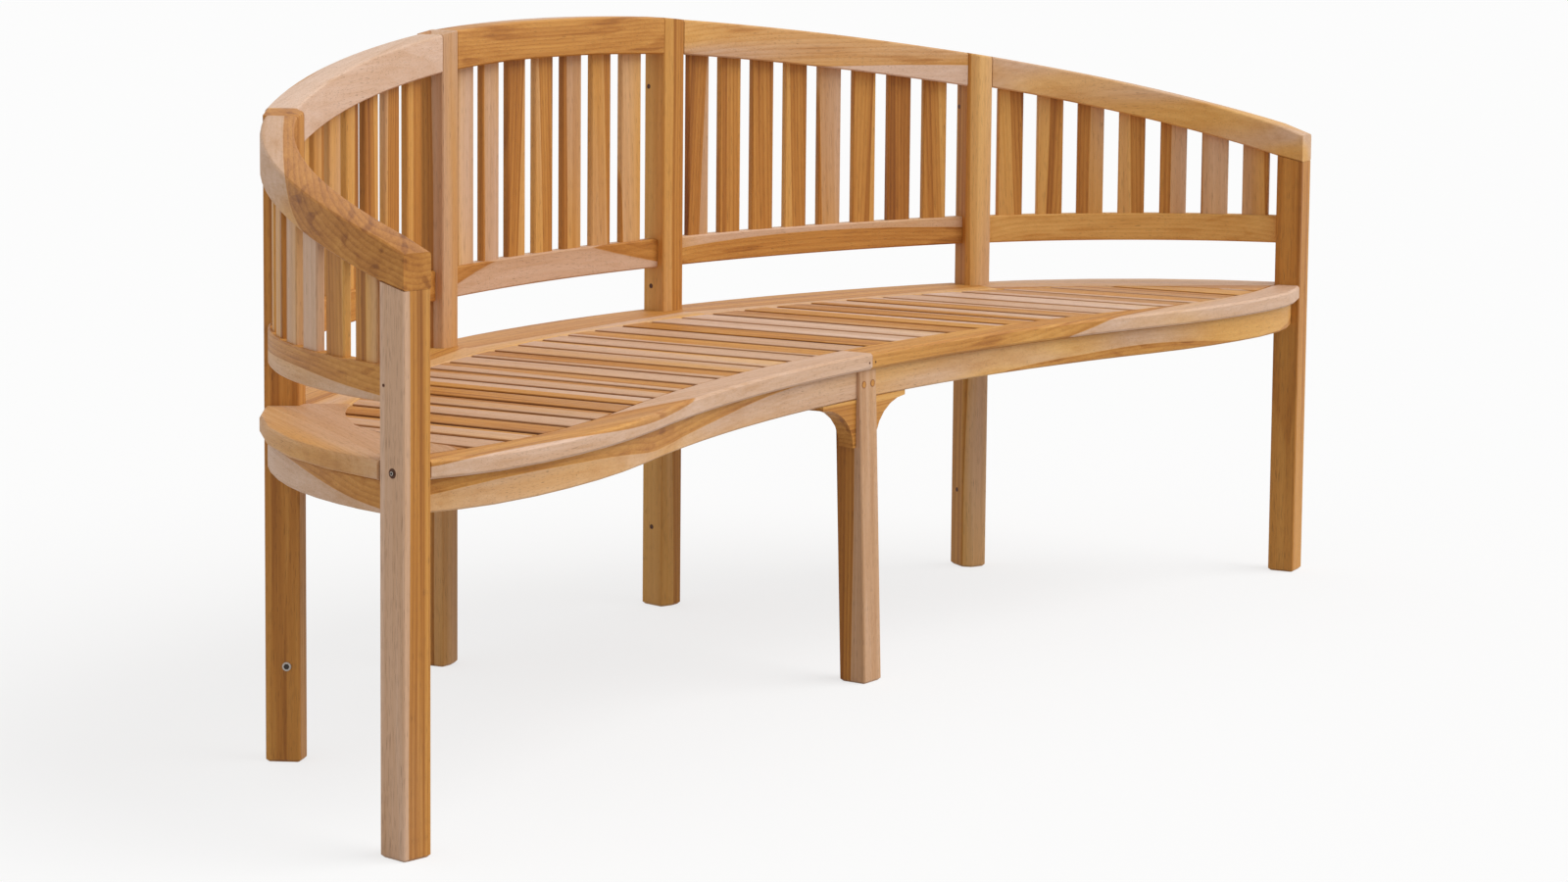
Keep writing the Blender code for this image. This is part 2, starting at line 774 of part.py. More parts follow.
def front_line(inset, start_x, clearance):
    """Plan points of a front piece, one at each gap between slats and one at each end."""
    curve = lambda x: front_at(x, inset)
    first = meet(curve, (Vector((start_x, 0.0)), Vector((1.0, 0.0))), gap_x(1), 0.0, clearance)
    last = meet(curve, end_post.face(-1, 0), nose_x, HALF_LENGTH)
    places = [first]
    places += [gap_x(i) for i in range(1, SLATS_PER_HALF + 1)]
    places.append((places[-1] + last) / 2)
    places.append(last)
    return [front_at(x, inset) for x in places]


rail_inner = front_line(0.0, 0.0, GAP / 2)
rail_outer = front_line(FRONT_RAIL_WIDTH, 0.0, GAP / 2)
# Past the last slat the front rail's inner edge is its joint with the end board
corner = end_post.at(-half - GAP, half)
joint_start = rail_inner[SLATS_PER_HALF]
rail_inner[-2] = (joint_start + corner) / 2
rail_inner[-1] = corner
for side, hand in HANDS:
    mesh = band(rail_inner, rail_outer, board_section(), lambda p, k: seat_level(p))
    solid(f"{side}_front_seat_rail", mesh, GOLDEN_TEAK, hand=hand)

# Seat boards along the back and the ends, notched round the posts
joint_along = (corner - joint_start).normalized()
joint_plane = (joint_start, Vector((-joint_along.y, joint_along.x)))


def seam(post, way):
    """The joint between two seat boards at a post, seen from the board on one side of it."""
    return post.middle, post.across * way


def inner_edge(arc, offset, start, end, low, high):
    """A board's inner edge, with a point at each gap between slats that it passes."""
    first = meet(lambda s: arc.at(s, offset), start, MIDDLE_SHARE, BEFORE_SHARE, GAP / 2)
    last = meet(lambda s: arc.at(s, offset), end, MIDDLE_SHARE, BEYOND_SHARE, GAP / 2)
    shares = [first]
    for i in range(low, high + 1):
        plane = (Vector((gap_x(i), 0.0)), Vector((1.0, 0.0)))
        share = meet(lambda s: arc.at(s, offset), plane, BEFORE_SHARE, BEYOND_SHARE, 0.0)
        if first < share < last:
            shares.append(share)
    shares.append(last)
    return shares


def board_lines(arc, start, end, low, high):
    shares = inner_edge(arc, -BACK_BOARD_INSET, start, end, low, high)
    inner = [arc.at(s, -BACK_BOARD_INSET) for s in shares]
    first = meet(lambda s: arc.at(s, BOARD_OVERHANG), start, MIDDLE_SHARE, BEFORE_SHARE, GAP / 2)
    last = meet(lambda s: arc.at(s, BOARD_OVERHANG), end, MIDDLE_SHARE, BEYOND_SHARE, GAP / 2)
    scale = (last - first) / (shares[-1] - shares[0])
    outer = [arc.at(first + (s - shares[0]) * scale, BOARD_OVERHANG) for s in shares]
    return inner, outer


back_seam = seam(back_post, -1)
back_inner, back_outer = board_lines(back_panel.arc, mirrored(back_seam), back_seam, -4, 4)
quarter_seams = (seam(back_post, 1), seam(side_post, -1))
quarter_inner, quarter_outer = board_lines(quarter_panel.arc, *quarter_seams, 3, 12)
mesh = band(back_inner, back_outer, board_section(), lambda p, k: seat_level(p))
back_board = solid("back_seat_board", mesh, GOLDEN_TEAK)
for side, hand in HANDS:
    combine(back_board, notch(f"{side}_back_notch", back_post, hand), "DIFFERENCE")
for side, hand in HANDS:
    mesh = band(quarter_inner, quarter_outer, board_section(), lambda p, k: seat_level(p))
    board = solid(f"{side}_quarter_seat_board", mesh, GOLDEN_TEAK, hand=hand)
    combine(board, bpy.data.objects[f"{side}_back_notch"], "DIFFERENCE")
    combine(board, notch(f"{side}_side_notch", side_post, hand), "DIFFERENCE")

# The end board's inner edge runs from the joint at the side post to the front rail
end_start = quarter_inner[-1] + side_post.across * GAP
end_front = Vector((joint_start.x + END_BOARD_LAP, joint_start.y))
end_arc = Arc(end_start, end_front, HALF_LENGTH * END_BOARD_BOW_SHARE)
end_shares = [0.0]
for i in range(SLATS_PER_HALF - FIXED_SLATS, SLATS_PER_HALF):
    plane = (Vector((gap_x(i), 0.0)), Vector((1.0, 0.0)))
    end_shares.append(meet(lambda s: end_arc.at(s), plane, 0.0, 1.0, 0.0))
end_last = meet(lambda s: end_arc.at(s), joint_plane, MIDDLE_SHARE, BEYOND_SHARE)
end_shares += [(end_shares[-1] + end_last) / 2, end_last]
end_inner = [end_arc.at(s) for s in end_shares]
end_outer = line_between(
    arm_panel.arc, BOARD_OVERHANG, seam(side_post, 1), joint_plane, len(end_inner) - 1, GAP
)


def slat_mesh(x_low, x_high, front, back, front_tongue, back_tongue):
    """A seat slat with a tongue at each end that meets a grooved rail."""
    top = -SEAT_SLAT_DROP
    body = (x_low, x_high, top - SEAT_SLAT_THICKNESS, top, SEAT_SLAT_EASE)
    middle = -BOARD_THICKNESS / 2
    shy = SEAT_SLAT_EASE
    half_tongue = TONGUE_THICKNESS / 2
    tongue = (x_low + shy, x_high - shy, middle - half_tongue, middle + half_tongue, shy / 2)

    def ring(section, line, shift):
        left, right, low, high, ease = section
        square = ((left, low), (right, low), (right, high), (left, high))
        corners = eased([Vector(corner) for corner in square], ease)
        points = []
        for corner in corners:
            y = y_on(line, corner.x) + shift
            points.append((corner.x, y, seat_level(Vector((corner.x, y))) + corner.y))
        return points

    rings = []
    if front_tongue:
        rings += [ring(tongue, front, SEAT_SLAT_CLEARANCE - TONGUE_LENGTH)]
        rings += [ring(tongue, front, SEAT_SLAT_CLEARANCE)]
    rings += [ring(body, front, SEAT_SLAT_CLEARANCE)]
    if back_tongue:
        rings += [ring(body, back, -SEAT_SLAT_CLEARANCE)]
        rings += [ring(tongue, back, -SEAT_SLAT_CLEARANCE)]
        rings += [ring(tongue, back, TONGUE_LENGTH - SEAT_SLAT_CLEARANCE)]
    else:
        rings += [ring(body, back, FINGER_HOUSING)]
    return loft(rings)


def slat_sides(i):
    return gap_x(i) + SEAT_SLAT_GAP / 2, gap_x(i + 1) - SEAT_SLAT_GAP / 2


whole_back = back_inner + quarter_inner + end_inner
for side, hand in HANDS:
    for i in range(SLATS_PER_HALF - FIXED_SLATS):
        mesh = slat_mesh(*slat_sides(i), rail_inner, whole_back, True, True)
        solid(f"{side}_seat_slat_{i + 1}", mesh, PALE_TEAK if i % 2 else GOLDEN_TEAK, hand=hand)
    mesh = band(end_inner, end_outer, board_section(), lambda p, k: seat_level(p))
    board = solid(f"{side}_end_seat_board", mesh, PALE_TEAK, hand=hand)
    combine(board, bpy.data.objects[f"{side}_side_notch"], "DIFFERENCE")
    fingers = [
        slat_mesh(*slat_sides(i), rail_inner, end_inner, True, False)
        for i in range(SLATS_PER_HALF - FIXED_SLATS, SLATS_PER_HALF)
    ]
    combine(board, tool(f"{side}_short_slats", joined(fingers), hand), "UNION")

# Aprons stand on edge under the boards, set back from their edges
apron_top = -BOARD_THICKNESS - GAP
apron_section = plain_section(APRON_DEPTH, RAIL_EASE, apron_top)


def make_apron(name, panel, hand, colour):
    outer_offset = BOARD_OVERHANG - BACK_APRON_RECESS
    inner = panel.line(outer_offset - APRON_THICKNESS, APRON_STEPS)
    outer = panel.line(outer_offset, APRON_STEPS)
    mesh = band(inner, outer, apron_section, lambda p, k: seat_level(p))
    apron = solid(name, mesh, colour, hand=hand)
    heights = {end: lambda p: seat_level(p) + apron_top for end in (0, -1)}
    tenons = rail_tenons(panel, outer_offset - APRON_THICKNESS / 2, heights, APRON_DEPTH, hand)
    combine(apron, tool(f"{name}_tenons", joined(tenons)), "UNION")
    return inner


back_apron_line = make_apron("back_apron", back_panel, 1, BROWN_TEAK)
apron_outer_inset = FRONT_RAIL_WIDTH - FRONT_APRON_RECESS
front_apron_inner = front_line(apron_outer_inset - APRON_THICKNESS, half, GAP)
front_apron_outer = front_line(apron_outer_inset, half, GAP)
for side, hand in HANDS:
    quarter_apron_line = make_apron(f"{side}_quarter_apron", quarter_panel, hand, GOLDEN_TEAK)
    make_apron(f"{side}_side_apron", arm_panel, hand, GOLDEN_TEAK)
    mesh = band(front_apron_inner, front_apron_outer, apron_section, lambda p, k: seat_level(p))
    apron = solid(f"{side}_front_apron", mesh, GOLDEN_TEAK, hand=hand)
    tenons = []
    ends = (
        (0, "centre_front_leg", Vector((1.0, 0.0))),
        (-1, f"{side}_front_post", -end_post.across),
    )
    for k, post, out in ends:
        centre = (front_apron_inner[k] + front_apron_outer[k]) / 2
        top = seat_level(centre) + apron_top - TENON_SHOULDER
        tenons.append(tenon(centre, out, top - APRON_DEPTH + 2 * TENON_SHOULDER, top, post, hand))
    combine(apron, tool(f"{side}_front_apron_tenons", joined(tenons)), "UNION")

# Centre front leg, raked so that its foot stands forward
leg_y = front_middle_y - CENTRE_LEG_INSET
leg = Post(0.0, leg_y, 0.0)
leg_plan = [leg.at(p.x, p.y) for p in eased(leg.outline(), POST_EASE)]
foot_plan = [leg.at(p.x, p.y) for p in eased(grown(leg.outline(), -FOOT_EASE), POST_EASE)]
rake = CENTRE_LEG_RAKE / SEAT_HEIGHT


def raked(points, height):
    ring = []
    for p in points:
        z = height(p)
        ring.append((p.x, p.y - rake * (SEAT_HEIGHT - z), z))
    return ring


head = lambda p: seat_level(p) - BOARD_THICKNESS - 2 * GAP
mesh = loft([raked(foot_plan, lambda p: 0.0), raked(leg_plan, lambda p: FOOT_EASE), raked(leg_plan, head)])
solid("centre_front_leg", mesh, BROWN_TEAK)

for post_name, cuts in mortises.items():
    combine(bpy.data.objects[post_name], tool(f"{post_name}_mortises", joined(cuts)), "DIFFERENCE")
for side, hand in HANDS:
    head = tool(f"{side}_head_tenon", head_tenon(end_post, 0.0, hand))
    combine(bpy.data.objects[f"{side}_front_post"], head, "UNION")

# Brackets between the centre leg and the front aprons, hollowed on their lower edge
bracket_front = front_at(0.0, apron_outer_inset).y
bracket_start = half + GAP


def bracket_ring(y):
    top = seat_level(Vector((0.0, y))) - BOARD_THICKNESS - APRON_DEPTH - 2 * GAP
    hollow_x = BRACKET_LENGTH - BRACKET_TIP
    hollow_z = BRACKET_DROP - BRACKET_TIP
    points = [(bracket_start, y, top), (bracket_start, y, top - BRACKET_DROP)]
    for k in range(2 * ROUND_STEPS + 1):
        angle = math.pi / 2 * k / (2 * ROUND_STEPS)
        x = BRACKET_LENGTH - hollow_x * math.cos(angle)
        z = BRACKET_DROP - hollow_z * math.sin(angle)
        points.append((bracket_start + x, y, top - z))
    points.append((bracket_start + BRACKET_LENGTH, y, top))
    return points


for side, hand in HANDS:
    mesh = loft([bracket_ring(bracket_front), bracket_ring(bracket_front + BRACKET_THICKNESS)])
    solid(f"{side}_leg_bracket", mesh, BROWN_TEAK, hand=hand)


def make_bearer(name, x, front, back, hand):
    """A bearer under the slats from the front of the frame to the back apron."""
    sides = (x - BEARER_WIDTH / 2, x + BEARER_WIDTH / 2)
    plan = [Vector((sides[0], front(sides[0]))), Vector((sides[1], front(sides[1])))]
    plan += [Vector((sides[1], back(sides[1]))), Vector((sides[0], back(sides[0])))]
    top = BOARD_THICKNESS + GAP
    high = lambda p: seat_level(p) - top
    mesh = prism(eased(plan, RAIL_EASE), lambda p: high(p) - BEARER_DEPTH, high)
    solid(name, mesh, BROWN_TEAK, hand=hand)


leg_back = leg_y + half + GAP
make_bearer("centre_bearer", 0.0, lambda x: leg_back, lambda x: y_on(back_apron_line, x) - GAP, 1)
bearer_x = (gap_x(SIDE_BEARER_SLAT) + gap_x(SIDE_BEARER_SLAT + 1)) / 2
for side, hand in HANDS:
    make_bearer(
        f"{side}_bearer",
        bearer_x,
        lambda x: y_on(front_apron_inner, x) + GAP,
        lambda x: y_on(quarter_apron_line, x) - GAP,
        hand,
    )

# The bench stands over the origin, on the floor
bpy.context.view_layer.update()
pieces = [piece for piece in bpy.data.objects if piece.data and not piece.hide_render]
places = [piece.matrix_world @ v.co for piece in pieces for v in piece.data.vertices]
bench.location.x = -(min(p.x for p in places) + max(p.x for p in places)) / 2
bench.location.y = -(min(p.y for p in places) + max(p.y for p in places)) / 2
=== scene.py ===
import math

import bmesh
import bpy
from mathutils import Matrix, Vector


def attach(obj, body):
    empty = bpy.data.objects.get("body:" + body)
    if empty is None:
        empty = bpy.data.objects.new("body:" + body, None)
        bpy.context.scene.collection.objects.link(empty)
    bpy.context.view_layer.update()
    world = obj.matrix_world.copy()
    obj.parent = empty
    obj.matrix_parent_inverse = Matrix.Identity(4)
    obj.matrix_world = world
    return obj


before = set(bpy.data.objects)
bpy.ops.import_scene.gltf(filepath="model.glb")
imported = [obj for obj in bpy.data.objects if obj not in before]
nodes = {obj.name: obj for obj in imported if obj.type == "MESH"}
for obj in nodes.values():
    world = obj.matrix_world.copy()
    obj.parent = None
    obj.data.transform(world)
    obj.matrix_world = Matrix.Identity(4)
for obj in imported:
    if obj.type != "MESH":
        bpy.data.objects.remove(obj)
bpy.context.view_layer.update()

# The plan was worked out from the line between the front posts, which lies this far forward
FRONT_LINE_Y = -0.2903

# Planed teak, from the palest sapwood to the darkest heartwood
TEAK = (
    (0.0, (0.780, 0.570, 0.380, 1.0)),
    (0.2, (0.660, 0.430, 0.245, 1.0)),
    (0.4, (0.540, 0.300, 0.130, 1.0)),
    (0.55, (0.415, 0.196, 0.066, 1.0)),
    (0.7, (0.275, 0.112, 0.032, 1.0)),
    (0.85, (0.150, 0.054, 0.015, 1.0)),
    (1.0, (0.070, 0.024, 0.008, 1.0)),
)
GOLD = (1.12, 0.95, 0.48, 1.0)
ROSE = (0.99, 1.0, 1.20, 1.0)
PORE = (0.11, 0.05, 0.022, 1.0)

# How far the middle of the tree lies from the middle of a piece, how thick a year's ring is,
# how softly the heartwood begins, and where its darker rim fades out
PITH = 0.12
RING = 0.0066
HEART_EDGE = 0.0012
RIM_START = 0.0015
RIM_END = 0.006
# The waves per metre of each unevenness, along the grain and across it
BEND = (1.6, 9.0)
HUE = (1.6, 16.0)
WARP = (1.1, 30.0)
BROAD = (0.8, 34.0)
FLECK = (1.1, 85.0)
BAND = (2.2, 130.0)
STREAK = (5.0, 420.0)
HAIR = (14.0, 1500.0)
DASH = (60.0, 2200.0)


class Value:
    """A socket of a node, with arithmetic for the number it gives."""

    def __init__(self, maker, socket):
        self.maker = maker
        self.socket = socket

    def math(self, operation, *others):
        return self.maker.node("ShaderNodeMath", {"operation": operation}, self, *others)

    def __add__(self, other):
        return self.math("ADD", other)

    __radd__ = __add__

    def __sub__(self, other):
        return self.math("SUBTRACT", other)

    def __rsub__(self, other):
        return (self * -1.0) + other

    def __mul__(self, other):
        return self.math("MULTIPLY", other)

    __rmul__ = __mul__

    def __truediv__(self, other):
        return self.math("DIVIDE", other)

    def __gt__(self, other):
        return self.math("GREATER_THAN", other)

    def __lt__(self, other):
        return self.math("LESS_THAN", other)

    def __pow__(self, other):
        return self.math("POWER", other)


class Nodes:
    """A node tree, with every node made by one method."""

    def __init__(self, tree):
        self.tree = tree

    def node(self, kind, settings=None, *inputs, output=0):
        """A node by its type, settings and inputs in order, with the output that is wanted."""
        node = self.tree.nodes.new(kind)
        for key, value in (settings or {}).items():
            if key == "stops":
                self.set_stops(node.color_ramp, value)
            else:
                setattr(node, key, value)
        places = [socket for socket in node.inputs if socket.enabled]
        for place, value in zip(places, inputs):
            self.feed(place, value)
        if output is None:
            return node
        if isinstance(output, str):
            return Value(self, node.outputs[output])
        return Value(self, [socket for socket in node.outputs if socket.enabled][output])

    def feed(self, place, value):
        """Links or sets an input. None leaves it as it is."""
        if isinstance(value, Value):
            self.tree.links.new(value.socket, place)
        elif value is not None:
            place.default_value = value

    def set_stops(self, ramp, stops):
        """Stops of a colour ramp. A first stop of None makes it a staircase."""
        if stops[0] is None:
            ramp.interpolation = "CONSTANT"
            stops = stops[1:]
        while len(ramp.elements) < len(stops):
            ramp.elements.new(0.5)
        for element, (place, colour) in zip(ramp.elements, stops):
            element.position = place
            element.color = colour

    def parts(self, kind, value):
        """The three numbers of a vector or a colour."""
        node = self.node(kind, None, value, output=None)
        return [Value(self, socket) for socket in node.outputs]

    def either(self, *shares):
        """1 if one of several switches is 1."""
        total = shares[0]
        for share in shares[1:]:
            total = total.math("MAXIMUM", share)
        return total


class Wood(Nodes):
    """A material that is worked out from a point of the object."""

    def __init__(self, name):
        self.data = bpy.data.materials.new(name)
        self.data.use_nodes = True
        super().__init__(self.data.node_tree)
        self.shader = self.tree.nodes["Principled BSDF"]
        point = self.node("ShaderNodeTexCoord", output="Object")
        self.x, self.y, self.z = self.parts("ShaderNodeSeparateXYZ", point)

    def noise(self, x, y, z, detail=0.0, rough=0.5):
        """Noise from 0 to 1 over a point whose coordinates are in waves."""
        point = self.node("ShaderNodeCombineXYZ", None, x, y, z)
        return self.node("ShaderNodeTexNoise", None, point, 1.0, detail, rough)

    def figure(self, place, waves, shift, signs, detail=1.0, rough=0.5):
        """Noise drawn out along the grain. The signs say which coordinates the shift moves."""
        long, wide = waves
        point = [
            number * scale + shift * sign if sign else number * scale
            for number, scale, sign in zip(place, (long, wide, wide), signs)
        ]
        return self.noise(*point, detail, rough)

    def chance(self, w):
        """A number of its own for each w."""
        return self.node("ShaderNodeTexWhiteNoise", {"noise_dimensions": "1D"}, w)

    def smooth(self, value, low, high):
        """0 below low, 1 above high."""
        smoothly = {"interpolation_type": "SMOOTHSTEP"}
        return self.node("ShaderNodeMapRange", smoothly, value, low, high, 0.0, 1.0)

    def pick(self, share, first, second):
        """A number between two, by a share."""
        return self.node("ShaderNodeMix", {"data_type": "FLOAT"}, share, first, second)

    def mix(self, share, first, second, blend="MIX"):
        """A colour between two, by a share."""
        colours = {"data_type": "RGBA", "blend_type": blend}
        return self.node("ShaderNodeMix", colours, share, first, second)

    def ramp(self, value, stops):
        """A colour from a list of stops."""
        return self.node("ShaderNodeValToRGB", {"stops": stops}, value)

    def surface(self, colour, rough, relief, strength, depth, **constants):
        """Feeds the shader: colour, roughness, a relief that is so deep, and plain numbers."""
        self.feed(self.shader.inputs["Base Color"], colour)
        self.feed(self.shader.inputs["Roughness"], rough)
        bump = self.node("ShaderNodeBump", None, strength, depth, output=None)
        self.feed(bump.inputs["Height"], relief)
        self.feed(self.shader.inputs["Normal"], Value(self, bump.outputs["Normal"]))
        for name, value in constants.items():
            self.shader.inputs[name.replace("_", " ")].default_value = value
        return self.data

    def finish(self, along, across, through, seed, tone, rose, sap, depth, wander=0.006):
        """Planed teak. The coordinates are in metres, along the grain and two across it.

        The tone runs from 0, pale, to 1, dark, and rose from 0, golden, to 1, pink. The sapwood
        lies towards the angle sap, from that depth on, and is paler and pinker than the heart.
        """
        shift = seed * 3.17
        place = (along, across, through)
        cosine, sine = (
            (sap.math("COSINE"), sap.math("SINE"))
            if isinstance(sap, Value)
            else (math.cos(sap), math.sin(sap))
        )
        toward = across * cosine + through * sine
        aside = through * cosine - across * sine
        bend = self.figure(place, BEND, shift, (1, 0, -1))
        reach = toward + PITH
        out = (reach * reach + aside * aside) ** 0.5 - PITH + (bend - 0.5) * (wander * 4.0)
        inside = depth - out
        heart = self.smooth(inside, 0.0, HEART_EDGE)
        rim = heart - self.smooth(inside, RIM_START, RIM_END)
        # Rings are uneven, and each darkens towards its end
        warp = self.figure(place, WARP, shift, (-1, 1, 0))
        ring = out / RING + warp * 1.6
        saw = ring - ring.math("FLOOR")
        late = self.smooth(saw, 0.2, 0.95) * self.smooth(1.0 - saw, 0.0, 0.12)
        broad = self.figure(place, BROAD, shift, (-1, 0, 1))
        band = self.figure(place, BAND, shift, (1, 0, 0), 2.0, 0.6)
        streak = self.figure(place, STREAK, shift, (-1, 0, 0))
        hair = self.figure(place, HAIR, shift, (0, 1, 0))
        vein = self.smooth(self.figure(place, FLECK, shift, (1, 0, 0), 0.0), 0.6, 0.74)
        # How much each of them darkens the wood
        level = heart * 0.19 + rim * 0.035 + (broad - 0.5) * 0.30 + (band - 0.5) * 0.20
        level = level + (streak - 0.5) * 0.12 + (hair - 0.5) * 0.08 + vein * (heart * 0.08 + 0.04)
        level = level + late * (heart * 0.055 + 0.03) + tone
        hue = self.figure(place, HUE, shift, (1, 0, 1))
        pink = self.smooth(hue - heart * 0.6 + (rose - 0.5) * 0.9, 0.28, 0.72)
        colour = self.mix(1.0, self.ramp(level, TEAK), self.mix(pink, GOLD, ROSE), "MULTIPLY")
        pores = self.smooth(self.figure(place, DASH, shift, (0, 0, 0), 0.0), 0.68, 0.76)
        colour = self.mix(pores * 0.45, colour, PORE)
        rough = pores * 0.18 + hair * 0.14 + streak * 0.08 + 0.42
        relief = late * 0.3 + hair * 0.45 - pores * 0.9 + streak * 0.45
        return self.surface(colour, rough, relief, 0.4, 0.0004, Specular_IOR_Level=0.3)


def middle(name):
    """The middle of a CAD node."""
    places = [vertex.co for vertex in nodes[name].data.vertices]
    return sum(places, Vector()) / len(places)


def wear(node, material):
    """Gives a CAD node its material."""
    mesh = nodes[node].data
    mesh.materials.clear()
    mesh.materials.append(material)


def board(name, angle, seed, look, upright=False):
    """Teak whose grain runs level at an angle to X, or straight up.

    The look is a tone, a rose, the side and depth of the sapwood in degrees and millimetres, and
    how far the grain is turned from the piece in degrees. On a level board 0 degrees is its outer
    or back side and 90 its top; on an upright 0 is its right and 90 its back.
    """
    tone, rose, sap, depth, turn = look
    wood = Wood(name + "_teak")
    centre = middle(name)
    x = wood.x - centre.x
    y = wood.y - centre.y
    z = wood.z - centre.z
    angle += math.radians(turn)
    run = x * math.cos(angle) + y * math.sin(angle)
    side = y * math.cos(angle) - x * math.sin(angle)
    grain = (z, run, side) if upright else (run, side, z)
    return wood.finish(*grain, float(seed), tone, rose, math.radians(sap), depth / 1000)


class Bow:
    """A plan curve between two points of the right half, bowed to the left of the way."""

    def __init__(self, start, end, bow):
        start = Vector(start)
        end = Vector(end)
        chord = end - start
        self.angle = math.atan2(chord.y, chord.x)
        along = chord.normalized()
        out = Vector((-along.y, along.x))
        self.radius = (chord.length**2 / 4 + bow**2) / (2 * bow)
        self.centre = (start + end) / 2 - out * (self.radius - bow) + Vector((0.0, FRONT_LINE_Y))
        self.length = 2 * self.radius * math.asin(chord.length / 2 / self.radius)
        self.facing = self.angle + math.pi / 2


# The inner lines of the back, a quarter panel and an arm, and of the end seat board
BACK = Bow((-0.22656, 0.57473), (0.22656, 0.57473), 0.0185)
QUARTER = Bow((0.26504, 0.56836), (0.74061, 0.39586), 0.0234)
ARM = Bow((0.76926, 0.37088), (0.99786, 0.01644), 0.042)
END = Bow((0.72374, 0.32903), (0.91329, 0.00021), 0.052)
SEAT_HEIGHT = 0.430
SEAT_FALL = 0.0148
LOWER_RAIL_RISE = 0.1012
LOWER_RAIL_HALF = 0.02
# The arcs are the rails' inner lines. The slats stand this far behind them, half way up is
# this high, and a rail's straight grain is measured from this far behind the arc's middle
SLAT_INSET = 0.021
SLAT_MIDDLE = 0.65
GRAIN_INSET = 0.015
# How far the edge of the sapwood strays
RAIL_WANDER = 0.004
SLAT_WANDER = 0.0045
# The ramps that hold the slats' looks give numbers from 0 to 1, so that a depth in millimetres
# and a lean in degrees are kept as shares of these spans
DEPTH_SPAN = 80
LEAN_SPAN = 20
MOST_SLATS = 8


def slatted(name, bow, hand, spacings, seed, rail, strips):
    """A lower rail and its upright slats: level grain below, and a look of its own for each slat.

    The rail has a look as a board has. A slat has a tone, a rose, the edge that its sapwood is
    on, the depth of the sapwood in millimetres and the lean of its grain in degrees.
    """
    wood = Wood(name + "_teak")
    dx = wood.x * hand - bow.centre.x
    dy = wood.y - bow.centre.y
    forward = dx * math.cos(bow.facing) + dy * math.sin(bow.facing)
    aside = dy * math.cos(bow.facing) - dx * math.sin(bow.facing)
    around = aside.math("ARCTAN2", forward) * -bow.radius
    from_arc = (dx * dx + dy * dy) ** 0.5 - bow.radius - SLAT_INSET
    chord_depth = forward - bow.radius - GRAIN_INSET
    pitch = bow.length / spacings
    count = around / pitch + len(strips) / 2
    index = count.math("FLOOR")
    within = (count - index - 0.5) * pitch
    top = SEAT_HEIGHT + SEAT_FALL * FRONT_LINE_Y + LOWER_RAIL_RISE
    rise = wood.z + wood.y * SEAT_FALL - top
    is_slat = rise > 0.0
    step = (index + 0.5) / MOST_SLATS
    colours = []
    shapes = []
    for tone, rose, edge, depth, lean in strips:
        colours.append((tone, rose, edge / 2 + 0.5, 1.0))
        shapes.append((depth / DEPTH_SPAN + 0.5, lean / LEAN_SPAN + 0.5, 0.0, 1.0))
    colours = wood.ramp(step, staircase(colours))
    shapes = wood.ramp(step, staircase(shapes))
    tone, rose, edge = wood.parts("ShaderNodeSeparateColor", colours)
    depth, lean = wood.parts("ShaderNodeSeparateColor", shapes)[:2]
    up = wood.z - SLAT_MIDDLE
    slope = (lean - 0.5) * math.radians(LEAN_SPAN)
    turn = math.radians(rail[4])
    run = aside * -math.cos(turn) + chord_depth * math.sin(turn)
    side = chord_depth * math.cos(turn) + aside * math.sin(turn)
    return wood.finish(
        wood.pick(is_slat, run, up),
        wood.pick(is_slat, side, within + up * slope),
        wood.pick(is_slat, rise + LOWER_RAIL_HALF, from_arc),
        wood.pick(is_slat, float(seed), index * 1.37 + seed + 20.0),
        wood.pick(is_slat, rail[0], tone),
        wood.pick(is_slat, rail[1], rose),
        wood.pick(is_slat, math.radians(rail[2]), (1.0 - edge) * math.pi),
        wood.pick(is_slat, rail[3] / 1000, (depth - 0.5) * (DEPTH_SPAN / 1000)),
        wood.pick(is_slat, RAIL_WANDER, SLAT_WANDER),
    )


def staircase(colours):
    """Ramp stops that give each slat its own step."""
    return [None] + [(place / MOST_SLATS, colour) for place, colour in enumerate(colours)]


# The strength of the dome on the bench and to the eye, and the lamp's strength, width and place
DOME = 0.66
SEEN_DOME = 1.0
LAMP = 1.72
LAMP_WIDTH = 50
LAMP_SIDE = (0.32, -0.60, 0.72)


def studio_light():
    """A soft dome, and one broad lamp from the front right."""
    world = bpy.data.worlds.new("studio")
    world.use_nodes = True
    bpy.context.scene.world = world
    sky = Nodes(world.node_tree)
    rays = [
        sky.node("ShaderNodeLightPath", output=ray)
        for ray in ("Is Camera Ray", "Is Glossy Ray", "Is Transmission Ray")
    ]
    back = sky.tree.nodes["Background"]
    back.inputs["Color"].default_value = (1.0, 1.0, 1.0, 1.0)
    seen = sky.either(*rays)
    strength = sky.node("ShaderNodeMix", {"data_type": "FLOAT"}, seen, DOME, SEEN_DOME)
    sky.feed(back.inputs["Strength"], strength)
    lamp = bpy.data.lights.new("key", "SUN")
    lamp.energy = LAMP
    lamp.angle = math.radians(LAMP_WIDTH)
    key = bpy.data.objects.new("key", lamp)
    bpy.context.scene.collection.objects.link(key)
    key.rotation_euler = Vector(LAMP_SIDE).to_track_quat("Z", "Y").to_euler()


# Half the floor's width, its colour under the bench and to the eye, and how much of what the
# eye sees glows
FLOOR_REACH = 60.0
FLOOR_GREY = (0.62, 0.62, 0.615, 1.0)
FLOOR_WHITE = (0.86, 0.86, 0.855, 1.0)
FLOOR_GLOW = 0.72


